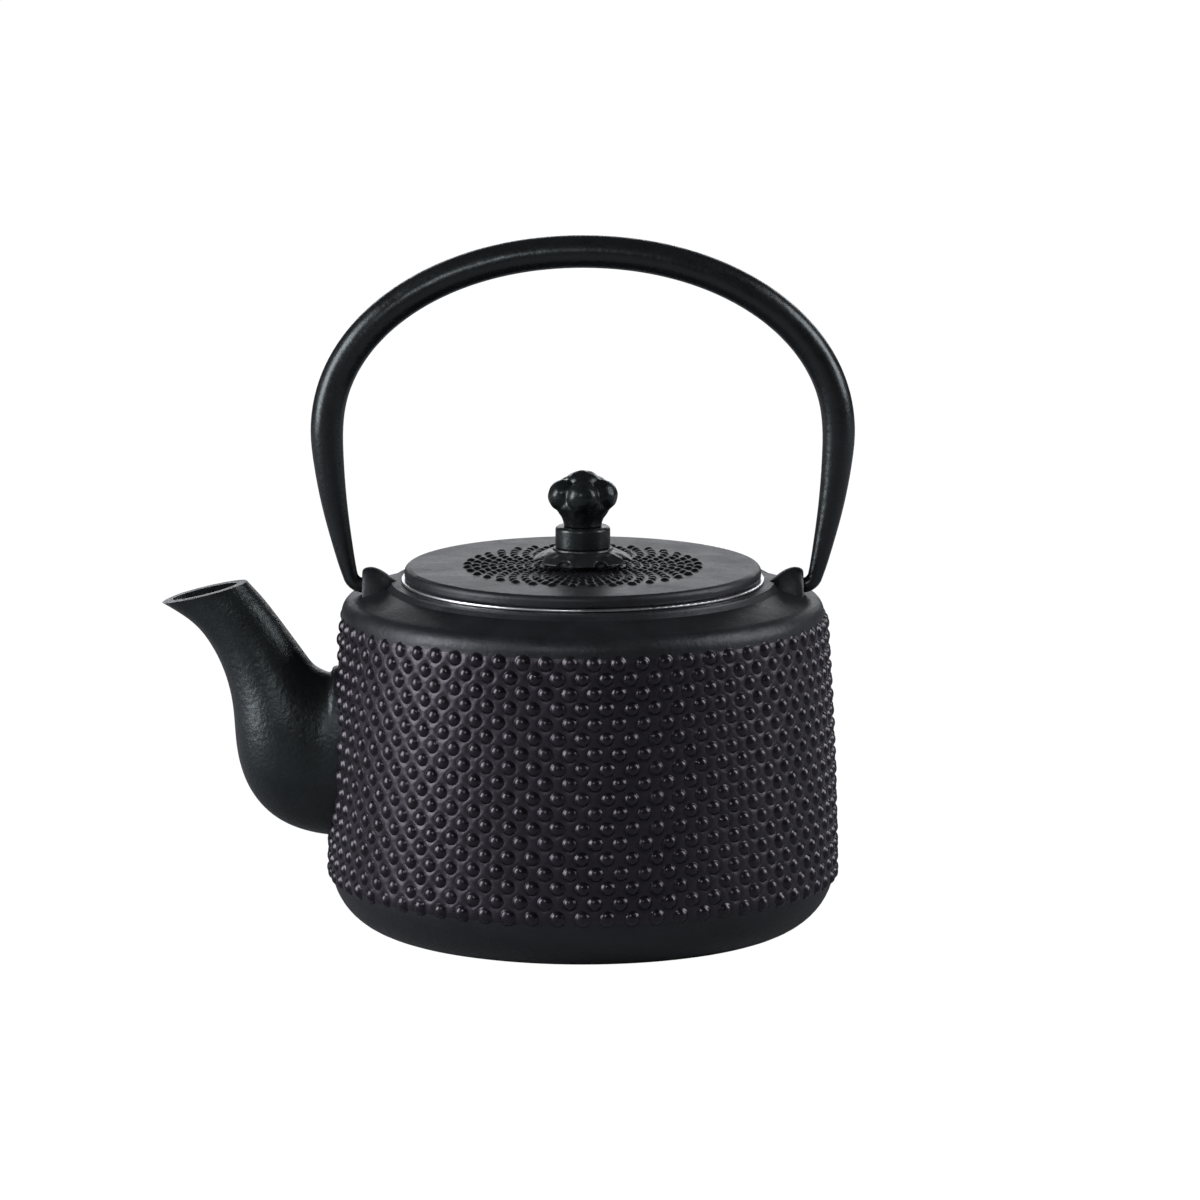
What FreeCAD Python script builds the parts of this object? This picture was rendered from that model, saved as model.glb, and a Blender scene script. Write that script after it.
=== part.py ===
"""A cast iron teapot with a bail handle, a lifting lid and a stainless infuser basket.

The origin is on the pot's own axis, in the plane of its flat base. +Z is up, the spout points
along -X and the handle's pivot runs along X. Sizes are millimetres.
"""
import FreeCAD, Part
import Sketcher
import math
import os
import re

# Driving dimensions: alias, value, what it is.
SIZES = (
    # pot
    ("base_radius", 55.0, "flat disc that the pot stands on"),
    ("foot_round", 18.7, "radius between the base and the wall"),
    ("shoulder_radius", 70.4, "wall at its top, where the shoulder starts"),
    ("wall_top", 92.5, "height of the wall's top"),
    ("wall_bow", 1400.0, "radius of the wall's slight outward bow"),
    ("shoulder_round", 5.0, "radius of the shoulder's corner"),
    ("shoulder_edge_radius", 66.3, "where the shoulder's corner ends"),
    ("shoulder_edge_height", 97.7, "where the shoulder's corner ends"),
    ("rim_foot_radius", 57.2, "where the shoulder meets the raised mouth rim"),
    ("rim_foot_height", 100.3, "where the shoulder meets the raised mouth rim"),
    ("rim_outer_radius", 55.8, "flat top of the mouth rim, outside"),
    ("rim_height", 102.0, "flat top of the mouth rim"),
    ("rim_lean", 0.3, "how far the rim's side leans in"),
    ("rim_bevel", 0.5, "height of the bevel on the rim's outer edge"),
    ("mouth_radius", 49.5, "opening of the pot"),
    ("wall", 3.8, "thickness of the wall"),
    ("floor", 4.5, "thickness of the floor"),
    ("floor_inset", 0.9, "how much smaller the floor's flat is than the base"),
    ("hollow_drop", 1.5, "inside corner of the shoulder, below the wall's top"),
    ("hollow_rise", 1.7, "end of that corner, above the wall's top"),
    ("hollow_inset", 2.8, "end of that corner, in from the wall's inside"),
    ("hollow_round", 3.2, "radius of that corner"),
    # lugs and handle pivot
    ("pivot_height", 100.7, "axis of the handle's hooks"),
    ("pin_radius", 2.2, "hooked end of the handle"),
    ("pin_play", 0.1, "radial clearance of a hook in its hole"),
    ("lug_face", 64.3, "outer face of a lug, from the pot's axis"),
    ("lug_hole_depth", 7.6, "blind hole in the outer face of a lug"),
    ("lug_height", 106.0, "top of a lug"),
    ("lug_root", 94.0, "widest level of a lug, inside the shoulder"),
    # handle
    ("bail_half_span", 74.4, "half width of the arch, on its centre line"),
    ("bail_spring_height", 146.0, "where the arch starts above the straight arms"),
    ("bail_rise", 52.9, "height of the arch above that"),
    ("bail_arm_inset", 6.6, "how far an arm comes in between the arch and the hook"),
    ("bail_radius", 4.75, "half thickness of the arch at its top"),
    ("hook_bend", 4.0, "bend radius of a hook"),
    ("hook_lean", 14.5, "lean of an arm, in degrees, where its hook's bend starts"),
    ("hook_end", 57.0, "tip of a hook, from the pot's axis"),
    # spout
    ("spout_wall", 3.0, "thickness of the spout"),
    ("mouth_tip", 122.9, "tip of the spout's mouth, from the pot's axis"),
    ("mouth_tip_height", 95.8, "tip of the spout's mouth"),
    ("mouth_tilt", 13.9, "rise of the mouth's rim from its tip, in degrees"),
    # lid
    ("lid_radius", 52.0, "edge of the lid"),
    ("lid_under", 103.0, "flat underside of the lid's edge"),
    ("lid_top", 106.5, "flat top of the lid"),
    ("lid_edge_round", 1.6, "rounding of the lid's upper edge"),
    ("lid_lower_round", 0.9, "rounding of the lid's lower edge"),
    ("lid_ring_lean", 0.3, "taper of the locating ring on each side"),
    ("lid_boss_flare", 1.0, "how much wider the boss is where it meets the lid"),
    ("lid_ring_outer", 45.8, "locating ring under the lid, outside"),
    ("lid_ring_inner", 42.6, "locating ring under the lid, inside"),
    ("lid_ring_foot", 97.5, "bottom of the locating ring"),
    ("lid_boss_radius", 7.0, "boss under the lid for the stud"),
    ("lid_boss_foot", 101.5, "bottom of that boss"),
    # knob and its fastening
    ("stud_radius", 2.0, "threaded stud that holds the knob"),
    ("stud_hole", 2.2, "clearance hole for the stud"),
    ("stud_foot", 96.4, "lower end of the stud"),
    ("stud_top", 125.0, "upper end of the stud, inside the knob"),
    ("washer_radius", 5.5, "plain washer under the lid"),
    ("washer_thickness", 0.9, "plain washer under the lid"),
    ("nut_flats", 7.0, "nut across its flats"),
    ("nut_height", 3.2, "nut"),
    ("petal_radius", 14.5, "flower washer at its petals' tips"),
    ("petal_foot_radius", 7.4, "foot of the flower washer on the lid"),
    ("petal_foot_height", 109.9, "where the petals spring from that foot, underneath"),
    ("petal_rim_height", 108.2, "underside of the petals' tips"),
    ("petal_rim_round", 0.4, "rounding under the petals' tips"),
    ("petal_arch", 12.0, "radius of the petals' downward curve"),
    ("petal_spring", 111.4, "where the petals spring from the seat, on top"),
    ("petal_seat_radius", 8.7, "flat seat on the flower washer"),
    ("petal_crown", 112.0, "seat of the flower washer"),
    ("petal_notch", 2.3, "radius of the notch between two petals"),
    ("petal_notch_out", 0.3, "centre of that notch, out from the petals' tips"),
    ("collar_radius", 8.0, "collar under the knob"),
    ("collar_top", 118.3, "top of the collar"),
    ("collar_round", 1.1, "rounding of the collar's upper edge"),
    ("collar_foot_round", 0.5, "rounding of the collar's lower edge"),
    ("neck_radius", 5.7, "neck of the knob"),
    ("neck_straight", 0.7, "height of the neck before it flares"),
    ("flare_radius", 8.3, "top of the neck's flare, between the lobes"),
    ("flare_height", 123.9, "top of the neck's flare, between the lobes"),
    ("flare_hollow", 12.0, "radius of the flare's hollow curve"),
    ("heart_radius", 7.0, "body of the knob, between the lobes' tops"),
    ("heart_height", 128.4, "body of the knob, between the lobes' tops"),
    ("heart_round", 6.0, "radius of the body's curve between the lobes"),
    ("heart_top", 131.1, "top of the knob's body, under the dome"),
    ("lobe_radius", 4.8, "one lobe of the knob"),
    ("lobe_circle", 5.6, "circle that the lobes' centres lie on"),
    ("lobe_height", 127.5, "centres of the lobes"),
    ("crown_radius", 4.6, "dome in the middle of the knob"),
    ("crown_foot", 4.2, "edge of the knob's body, under the dome"),
    ("crown_height", 134.7, "top of that dome"),
    # infuser
    ("flange_radius", 52.9, "edge of the infuser's flange"),
    ("flange_under", 102.1, "underside of the flange, just clear of the mouth rim"),
    ("flange_top", 102.9, "top of the flange, just clear of the lid"),
    ("neck_outer", 48.4, "infuser neck inside the mouth"),
    ("flange_edge", 0.3, "rounding of the flange's edges"),
    ("sheet_thickness", 0.5, "pressed stainless sheet"),
    ("neck_foot", 96.0, "bottom of the infuser neck"),
    ("mesh_thickness", 0.6, "wire mesh"),
    ("mesh_top", 100.8, "upper edge of the mesh, inside the neck"),
    ("mesh_foot_radius", 34.6, "mesh wall where its bottom corner starts"),
    ("mesh_foot", 24.6, "bottom of the mesh basket"),
    ("mesh_corner", 7.5, "radius of the basket's bottom corner"),
    ("band_top", 101.6, "upper edge of the band that grips the mesh"),
    ("band_foot", 95.0, "lower edge of the band that grips the mesh"),
)
ALIASES = {alias for alias, value, note in SIZES}

LOBES = 5
PETALS = 8
ARCH_STATIONS = 14           # sections of the handle's arch, end to end
ARM_STATIONS = 5             # sections of each arm below the arch
ARCH_POWER = 2.05            # exponent of the arch's superellipse
TAPER_POWER = 1.33           # how late an arm thins towards its hook
DEPTH_EXTRA = 0.08           # how much deeper than wide the handle's section is
FAR_OUT = 4.0                # how far a cutting shape runs past the face it opens
TRIM_SIDE = 30.0             # length and width of the block that trims the spout's mouth
TRIM_HEIGHT = 12.0           # height of that block

doc = FreeCAD.newDocument("cast_iron_teapot")


# ---- sizes -----------------------------------------------------------------------------------

def make_sheet():
    sheet = doc.addObject("Spreadsheet::Sheet", "sizes")
    for row, (alias, value, note) in enumerate(SIZES, start=1):
        sheet.set("A%d" % row, alias)
        sheet.set("B%d" % row, str(value))
        sheet.set("C%d" % row, note)
        sheet.setAlias("B%d" % row, alias)
    doc.recompute()
    return sheet


def linked(text):
    """The text as an expression: each alias in it gets the sheet's name in front."""
    return re.sub(r"[a-z_]+", lambda word: "sizes." + word.group() if word.group() in ALIASES
                  else word.group(), text)


def number(text):
    return float(sheet.evalExpression(linked(text)))


def bind(thing, **expressions):
    """Bind properties of an object to the sheet. A double underscore stands for a dot."""
    for name, text in expressions.items():
        thing.setExpression(name.replace("__", "."), linked(text))
    return thing


sheet = make_sheet()


# ---- sketches and features -------------------------------------------------------------------

def new_body(name):
    return doc.addObject("PartDesign::Body", name)


def new_sketch(body, name, plane):
    sketch = body.newObject("Sketcher::SketchObject", name)
    support = [feature for feature in body.Origin.OriginFeatures if feature.Role == plane]
    sketch.AttachmentSupport = [(support[0], "")]
    sketch.MapMode = "FlatFace"
    return sketch


def hold_point(sketch, geometry, end, across, up):
    """Hold one end of a sketch line or arc at a point given by two sheet expressions."""
    for kind, axis, text in (("DistanceX", -2, across), ("DistanceY", -1, up)):
        value = number(text)
        if abs(value) < 1e-9:
            sketch.addConstraint(Sketcher.Constraint("PointOnObject", geometry, end, axis))
            continue
        index = sketch.addConstraint(Sketcher.Constraint(kind, -1, 1, geometry, end, value))
        sketch.setExpression("Constraints[%d]" % index, linked(text))


def arc_between(start, end, radius, bulge):
    """The short arc from start to end, drawn anticlockwise as a sketch wants it. A bulge of 1
    lies to the right of that direction and a bulge of -1 to its left."""
    chord = end - start
    half = chord.Length / 2
    sagitta = radius - math.sqrt(radius * radius - half * half)
    right = FreeCAD.Vector(chord.y, -chord.x, 0).normalize()
    middle = (start + end) * 0.5 + right * sagitta * bulge
    return Part.Arc(start, middle, end) if bulge > 0 else Part.Arc(end, middle, start)


def outline(sketch, steps):
    """Draw a closed outline. A step is (across, up) for a straight run to that point, or
    (across, up, radius, bulge) for an arc that ends there."""
    points = [FreeCAD.Vector(number(step[0]), number(step[1]), 0) for step in steps]
    ends = []
    for place, step in enumerate(steps):
        start = points[place - 1]
        end = points[place]
        if len(step) == 2:
            geometry = sketch.addGeometry(Part.LineSegment(start, end))
            ends.append((geometry, 1, 2))
            continue
        geometry = sketch.addGeometry(arc_between(start, end, number(step[2]), step[3]))
        ends.append((geometry, 1, 2) if step[3] > 0 else (geometry, 2, 1))
    for place, step in enumerate(steps):
        geometry, first, last = ends[place]
        before, before_first, before_last = ends[place - 1]
        sketch.addConstraint(Sketcher.Constraint("Coincident", before, before_last, geometry, first))
        hold_point(sketch, geometry, last, step[0], step[1])
        if len(step) == 4:
            radius = sketch.addConstraint(Sketcher.Constraint("Radius", geometry, number(step[2])))
            sketch.setExpression("Constraints[%d]" % radius, linked(step[2]))


def turned_body(name, steps):
    """A body of revolution about Z, from half of its outline in the XZ plane."""
    body = new_body(name)
    sketch = new_sketch(body, name + "_outline", "XZ_Plane")
    outline(sketch, steps)
    turning = body.newObject("PartDesign::Revolution", name + "_turning")
    turning.Profile = sketch
    turning.ReferenceAxis = (sketch, ["V_Axis"])
    turning.Angle = 360
    doc.recompute()
    return body


def fused(name, shapes):
    join = doc.addObject("Part::MultiFuse", name)
    join.Shapes = shapes
    join.Refine = True
    return join


def cut_away(name, base, tool):
    cut = doc.addObject("Part::Cut", name)
    cut.Base = base
    cut.Tool = tool
    return cut


def upright_cylinder(name, radius, foot, height):
    cylinder = doc.addObject("Part::Cylinder", name)
    return bind(cylinder, Radius=radius, Height=height, Placement__Base__z=foot)


def section(name, across, up, tilt, half_across, half_deep):
    """An ellipse across a path in the XZ plane. Its own x axis is tilted up from X by tilt
    degrees and has the half width half_across; half_deep is along Y."""
    ring = doc.addObject("Part::Ellipse", name)
    turn = FreeCAD.Rotation(FreeCAD.Vector(0, 1, 0), -tilt)
    long_side, short_side = half_across, half_deep
    if number(half_deep) > number(half_across):
        long_side, short_side = half_deep, half_across
        turn = turn.multiply(FreeCAD.Rotation(FreeCAD.Vector(0, 0, 1), 90))
    ring.Placement = FreeCAD.Placement(FreeCAD.Vector(0, 0, 0), turn)
    ring.MajorRadius = number(long_side)
    ring.MinorRadius = number(short_side)
    bind(ring, MajorRadius=long_side, MinorRadius=short_side)
    bind(ring, Placement__Base__x=across, Placement__Base__z=up)
    return ring


def lofted(name, sections):
    loft = doc.addObject("Part::Loft", name)
    loft.Sections = sections
    loft.Solid = True
    return loft


def mirrored(name, source):
    """A copy on the other side of the YZ plane."""
    copy = doc.addObject("Part::Mirroring", name)
    copy.Source = source
    copy.Normal = FreeCAD.Vector(1, 0, 0)
    return copy


# ---- pot -------------------------------------------------------------------------------------

def vessel_blank():
    """The pot's outer shape, filled solid: flat base, rounded foot, bowed wall, shoulder, rim."""
    return turned_body("vessel_blank", (
        ("0", "0"),
        ("base_radius", "0"),
        ("base_radius + foot_round", "foot_round", "foot_round", 1),
        ("shoulder_radius", "wall_top", "wall_bow", 1),
        ("shoulder_edge_radius", "shoulder_edge_height", "shoulder_round", 1),
        ("rim_foot_radius", "rim_foot_height"),
        ("rim_outer_radius + rim_lean", "rim_height - rim_bevel"),
        ("rim_outer_radius", "rim_height"),
        ("0", "rim_height"),
    ))


def vessel_cavity():
    """What the vessel holds, as a solid to cut away. It runs out through the mouth."""
    inner_foot = "foot_round - wall + floor_inset"
    out_of_mouth = "rim_height + %s" % FAR_OUT
    return turned_body("vessel_cavity", (
        ("0", "floor"),
        ("base_radius - floor_inset", "floor"),
        ("base_radius + foot_round - wall", "floor + " + inner_foot, inner_foot, 1),
        ("shoulder_radius - wall", "wall_top - hollow_drop"),
        ("shoulder_radius - wall - hollow_inset", "wall_top + hollow_rise", "hollow_round", 1),
        ("mouth_radius", "rim_height - floor"),
        ("mouth_radius", out_of_mouth),
        ("0", out_of_mouth),
    ))


# Sections of a lug from its flat outer face towards the mouth: how far in from the face, how far
# its top lies below the lug's height, and its half width.
LUG = (
    (0.0, 1.2, 6.2),
    (0.5, 0.45, 6.55),
    (1.3, 0.05, 6.75),
    (3.6, 0.05, 6.75),
    (6.0, 1.1, 6.5),
    (9.0, 3.3, 6.0),
    (12.5, 5.2, 5.2),
)


def lug():
    """The lug on the +X side: a hump with a flat outer face that slopes down to the mouth. Each
    section is the upper half of an upright ellipse, whose lower half falls inside the vessel."""
    upright = FreeCAD.Rotation(FreeCAD.Vector(0, 0, 1), FreeCAD.Vector(0, 1, 0), FreeCAD.Vector(-1, 0, 0),
                               "XYZ")
    rings = []
    for place, (inset, drop, half_width) in enumerate(LUG):
        ring = doc.addObject("Part::Ellipse", "lug_ring_%d" % place)
        ring.Placement = FreeCAD.Placement(FreeCAD.Vector(0, 0, 0), upright)
        bind(ring, MajorRadius="lug_height - lug_root - %s" % drop, MinorRadius=str(half_width),
             Placement__Base__x="lug_face - %s" % inset, Placement__Base__z="lug_root")
        rings.append(ring)
    return lofted("lug_right", rings)


# Sections of the spout from inside the pot's wall to the mouth: the middle's x and z, the tilt of
# the section's long side from X, its half length in the XZ plane and its half width along Y.
SPOUT = (
    (-66.0, 50.8, 90.0, 24.3, 16.6),
    (-75.0, 51.2, 86.0, 24.2, 16.5),
    (-82.6, 53.6, 72.0, 22.8, 16.3),
    (-87.6, 58.6, 61.0, 20.4, 15.8),
    (-90.2, 65.0, 50.0, 16.9, 14.4),
    (-92.0, 72.6, 41.0, 13.4, 12.4),
    (-95.4, 81.2, 34.0, 11.1, 10.4),
    (-99.6, 88.4, 29.0, 10.3, 9.4),
    (-104.4, 94.2, 22.0, 10.7, 8.8),
    (-110.6, 99.2, 16.5, 12.6, 8.5),
)


def spout_outside():
    rings = []
    for place, (across, up, tilt, long_half, wide_half) in enumerate(SPOUT):
        rings.append(section("spout_ring_%d" % place, str(across), str(up), tilt,
                             str(long_half), str(wide_half)))
    return lofted("spout_outside", rings)


def spout_bore():
    """The spout's inside, run on past the mouth along the spout's own direction."""
    rings = []
    for place, (across, up, tilt, long_half, wide_half) in enumerate(SPOUT):
        rings.append(section("bore_ring_%d" % place, str(across), str(up), tilt,
                             "%s - spout_wall" % long_half, "%s - spout_wall" % wide_half))
    across, up, tilt, long_half, wide_half = SPOUT[-1]
    past = FreeCAD.Vector(-math.sin(math.radians(tilt)), 0, math.cos(math.radians(tilt))) * FAR_OUT
    rings.append(section("bore_ring_past", str(across + past.x), str(up + past.z), tilt,
                         "%s - spout_wall" % long_half, "%s - spout_wall" % wide_half))
    return lofted("spout_bore", rings)


def mouth_trim():
    """A block whose underside is the plane of the spout's rim, rising from its tip."""
    block = doc.addObject("Part::Box", "mouth_trim")
    block.Length = TRIM_SIDE
    block.Width = TRIM_SIDE
    block.Height = TRIM_HEIGHT
    tilt = -number("mouth_tilt")
    block.Placement = FreeCAD.Placement(FreeCAD.Vector(0, -TRIM_SIDE / 2, 0),
                                        FreeCAD.Rotation(FreeCAD.Vector(0, 1, 0), tilt))
    return bind(block, Placement__Base__x="-mouth_tip", Placement__Base__z="mouth_tip_height")


def pin_holes():
    """The two blind holes for the handle's hooks, along X."""
    holes = []
    for name, side in (("right", 1), ("left", -1)):
        hole = doc.addObject("Part::Cylinder", "pin_hole_" + name)
        axis = FreeCAD.Rotation(FreeCAD.Vector(0, 1, 0), -90 * side)
        hole.Placement = FreeCAD.Placement(FreeCAD.Vector(0, 0, 0), axis)
        bind(hole, Radius="pin_radius + pin_play", Height="lug_hole_depth + %s" % FAR_OUT)
        bind(hole, Placement__Base__x="(lug_face + %s) * %d" % (FAR_OUT, side),
             Placement__Base__z="pivot_height")
        holes.append(hole)
    return holes


def pot_body(blank, bore):
    """The vessel with both lugs, its inside, the spout's way in and the two holes cut out."""
    right_lug = lug()
    solid = fused("pot_solid", [blank, right_lug, mirrored("lug_left", right_lug)])
    inside = fused("pot_inside", [vessel_cavity(), bore] + pin_holes())
    return cut_away("pot_body", solid, inside)


def spout(blank, bore):
    """The spout from the vessel's outer wall to its mouth, open from end to end. It is cast in one
    with the vessel, and it meets the wall face to face."""
    taken = fused("spout_taken", [blank, bore, mouth_trim()])
    return cut_away("spout", spout_outside(), taken)


# ---- handle ----------------------------------------------------------------------------------

def arch_section(name, angle):
    """A section of the arch at an angle from +X, on a superellipse."""
    across = math.copysign(abs(math.cos(angle)) ** (2 / ARCH_POWER), math.cos(angle))
    up = math.sin(angle) ** (2 / ARCH_POWER)
    half_span = number("bail_half_span")
    rise = number("bail_rise")
    steepness = ARCH_POWER - 1
    normal_across = math.copysign(abs(across) ** steepness, across) / half_span
    normal_up = up ** steepness / rise
    tilt = math.degrees(math.atan2(normal_up, normal_across))
    return section(name, "bail_half_span * %.5f" % across, "bail_spring_height + bail_rise * %.5f" % up,
                   tilt, "bail_radius", "bail_radius * %s" % (1 + DEPTH_EXTRA))


def arm_shape():
    """An arm's height and the power of its curve, which ends at the hook's lean."""
    lean = math.radians(number("hook_lean"))
    height = number("bail_spring_height - pivot_height - hook_bend") + number("hook_bend") * math.sin(lean)
    return height, math.tan(lean) * height / number("bail_arm_inset")


def arm_section(name, side, share):
    """A section of an arm. share runs from 0 at the arch to 1 at the hook."""
    height, power = arm_shape()
    slope = number("bail_arm_inset") * power * share ** (power - 1) / height
    tilt = -math.degrees(math.atan(slope))
    if side < 0:
        tilt = 180 - tilt
    half = "(bail_radius + (pin_radius - bail_radius) * %.5f)" % share ** TAPER_POWER
    return section(name, "(bail_half_span - bail_arm_inset * %.5f) * %d" % (share ** power, side),
                   "bail_spring_height - %.5f" % (share * height), tilt,
                   half, "%s * %.5f" % (half, 1 + DEPTH_EXTRA * (1 - share)))


def bail_loft():
    rings = []
    for place in range(ARM_STATIONS, 0, -1):
        rings.append(arm_section("bail_arm_right_%d" % place, 1, place / ARM_STATIONS))
    for place in range(ARCH_STATIONS + 1):
        rings.append(arch_section("bail_arch_%d" % place, math.pi * place / ARCH_STATIONS))
    for place in range(1, ARM_STATIONS + 1):
        rings.append(arm_section("bail_arm_left_%d" % place, -1, place / ARM_STATIONS))
    return lofted("bail_arch", rings)


def bail_hook():
    """The +X hook: a bend from the arm into a straight pin that points at the pot's axis."""
    bend = doc.addObject("Part::Torus", "hook_bend")
    turn = FreeCAD.Rotation(FreeCAD.Vector(0, 0, -1), FreeCAD.Vector(1, 0, 0), FreeCAD.Vector(0, -1, 0),
                            "XYZ")
    bend.Placement = FreeCAD.Placement(FreeCAD.Vector(0, 0, 0), turn)
    start = "(bail_half_span - bail_arm_inset - hook_bend * cos(hook_lean * 1 deg))"
    bind(bend, Radius1="hook_bend", Radius2="pin_radius", Angle3="90 - hook_lean",
         Placement__Base__x=start, Placement__Base__z="pivot_height + hook_bend")
    pin = doc.addObject("Part::Cylinder", "hook_pin")
    pin.Placement = FreeCAD.Placement(FreeCAD.Vector(0, 0, 0),
                                      FreeCAD.Rotation(FreeCAD.Vector(0, 1, 0), 90))
    bind(pin, Radius="pin_radius", Height=start + " - hook_end",
         Placement__Base__x="hook_end", Placement__Base__z="pivot_height")
    return fused("hook_right", [bend, pin])


def handle_bail():
    hook = bail_hook()
    return fused("handle_bail", [bail_loft(), hook, mirrored("hook_left", hook)])


# ---- lid and knob ----------------------------------------------------------------------------

def lid_plate():
    return turned_body("lid_plate", (
        ("stud_hole", "lid_boss_foot"),
        ("lid_boss_radius", "lid_boss_foot"),
        ("lid_boss_radius + lid_boss_flare", "lid_under"),
        ("lid_ring_inner", "lid_under"),
        ("lid_ring_inner + lid_ring_lean", "lid_ring_foot"),
        ("lid_ring_outer - lid_ring_lean", "lid_ring_foot"),
        ("lid_ring_outer", "lid_under"),
        ("lid_radius - lid_lower_round", "lid_under"),
        ("lid_radius", "lid_under + lid_lower_round", "lid_lower_round", 1),
        ("lid_radius", "lid_top - lid_edge_round"),
        ("lid_radius - lid_edge_round", "lid_top", "lid_edge_round", 1),
        ("stud_hole", "lid_top"),
    ))


def petal_washer():
    """A flower washer: a foot on the lid, a flat seat, and petals that droop clear of the lid."""
    body = turned_body("petal_washer", (
        ("stud_hole", "lid_top"),
        ("petal_foot_radius", "lid_top"),
        ("petal_foot_radius", "petal_foot_height"),
        ("petal_radius - petal_rim_round", "petal_rim_height", "petal_arch", -1),
        ("petal_radius", "petal_rim_height + petal_rim_round", "petal_rim_round", 1),
        ("petal_seat_radius", "petal_spring", "petal_arch", 1),
        ("petal_seat_radius", "petal_crown"),
        ("stud_hole", "petal_crown"),
    ))
    half_pitch = math.pi / PETALS
    sketch = new_sketch(body, "petal_notch_outline", "XY_Plane")
    reach = "(petal_radius + petal_notch_out)"
    notch = sketch.addGeometry(Part.Circle(
        FreeCAD.Vector(number(reach) * math.cos(half_pitch), number(reach) * math.sin(half_pitch), 0),
        FreeCAD.Vector(0, 0, 1), number("petal_notch")))
    hold_point(sketch, notch, 3, "%s * %.5f" % (reach, math.cos(half_pitch)),
               "%s * %.5f" % (reach, math.sin(half_pitch)))
    radius = sketch.addConstraint(Sketcher.Constraint("Radius", notch, number("petal_notch")))
    sketch.setExpression("Constraints[%d]" % radius, linked("petal_notch"))
    pocket = body.newObject("PartDesign::Pocket", "petal_notch")
    pocket.Profile = sketch
    pocket.Type = "ThroughAll"
    pocket.Reversed = True
    doc.recompute()
    pattern = body.newObject("PartDesign::PolarPattern", "petal_notches")
    pattern.Originals = [pocket]
    pattern.Axis = (sketch, ["N_Axis"])
    pattern.Angle = 360
    pattern.Occurrences = PETALS
    body.Tip = pattern
    return body


def knob_collar():
    return turned_body("knob_collar", (
        ("stud_hole", "petal_crown"),
        ("collar_radius - collar_foot_round", "petal_crown"),
        ("collar_radius", "petal_crown + collar_foot_round", "collar_foot_round", 1),
        ("collar_radius", "collar_top - collar_round"),
        ("collar_radius - collar_round", "collar_top", "collar_round", 1),
        ("stud_hole", "collar_top"),
    ))


def knob():
    """A blossom: a neck that flares like a cup, five round lobes and a dome in the middle."""
    stem = turned_body("knob_stem", (
        ("0", "collar_top"),
        ("neck_radius", "collar_top"),
        ("neck_radius", "collar_top + neck_straight"),
        ("flare_radius", "flare_height", "flare_hollow", -1),
        ("heart_radius", "heart_height", "heart_round", 1),
        ("crown_foot", "heart_top"),
        ("0", "heart_top"),
    ))
    pieces = [stem]
    for place in range(LOBES):
        angle = 2 * math.pi * place / LOBES - math.pi / 2
        lobe = doc.addObject("Part::Sphere", "lobe_%d" % place)
        bind(lobe, Radius="lobe_radius", Placement__Base__z="lobe_height",
             Placement__Base__x="lobe_circle * %.5f" % math.cos(angle),
             Placement__Base__y="lobe_circle * %.5f" % math.sin(angle))
        pieces.append(lobe)
    dome = doc.addObject("Part::Sphere", "knob_dome")
    bind(dome, Radius="crown_radius", Placement__Base__z="crown_height - crown_radius")
    blossom = fused("knob_blossom", pieces + [dome])
    bore = upright_cylinder("knob_bore", "stud_radius", "collar_top - %s" % FAR_OUT,
                            "stud_top - collar_top + %s" % FAR_OUT)
    return cut_away("knob", blossom, bore)


def knob_stud():
    return upright_cylinder("knob_stud", "stud_radius", "stud_foot", "stud_top - stud_foot")


def lid_inner_washer():
    disc = upright_cylinder("washer_disc", "washer_radius", "lid_boss_foot - washer_thickness",
                            "washer_thickness")
    hole = upright_cylinder("washer_hole", "stud_hole", "lid_boss_foot - %s" % FAR_OUT, str(2 * FAR_OUT))
    return cut_away("lid_inner_washer", disc, hole)


def knob_nut():
    block = doc.addObject("Part::Prism", "nut_block")
    block.Polygon = 6
    bind(block, Circumradius="nut_flats / sqrt(3)", Height="nut_height",
         Placement__Base__z="lid_boss_foot - washer_thickness - nut_height")
    thread = upright_cylinder("nut_thread", "stud_radius", "lid_boss_foot - nut_height - %s" % FAR_OUT,
                              "nut_height + %s" % (2 * FAR_OUT))
    return cut_away("knob_nut", block, thread)


# ---- infuser ---------------------------------------------------------------------------------

def infuser_rim():
    """The pressed flange that rests on the pot's mouth, with its neck inside the mouth."""
    return turned_body("infuser_rim", (
        ("neck_outer - sheet_thickness", "neck_foot"),
        ("neck_outer", "neck_foot"),
        ("neck_outer", "flange_under"),
        ("flange_radius - flange_edge", "flange_under"),
        ("flange_radius", "flange_under + flange_edge", "flange_edge", 1),
        ("flange_radius", "flange_top - flange_edge"),
        ("flange_radius - flange_edge", "flange_top", "flange_edge", 1),
        ("neck_outer - sheet_thickness", "flange_top"),
    ))


def infuser_band():
    """The inner band that grips the mesh against the neck."""
    outer = "neck_outer - sheet_thickness - mesh_thickness"
    return turned_body("infuser_band", (
        (outer + " - sheet_thickness", "band_foot"),
        (outer, "band_foot"),
        (outer, "band_top"),
        (outer + " - sheet_thickness", "band_top"),
    ))


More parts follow.
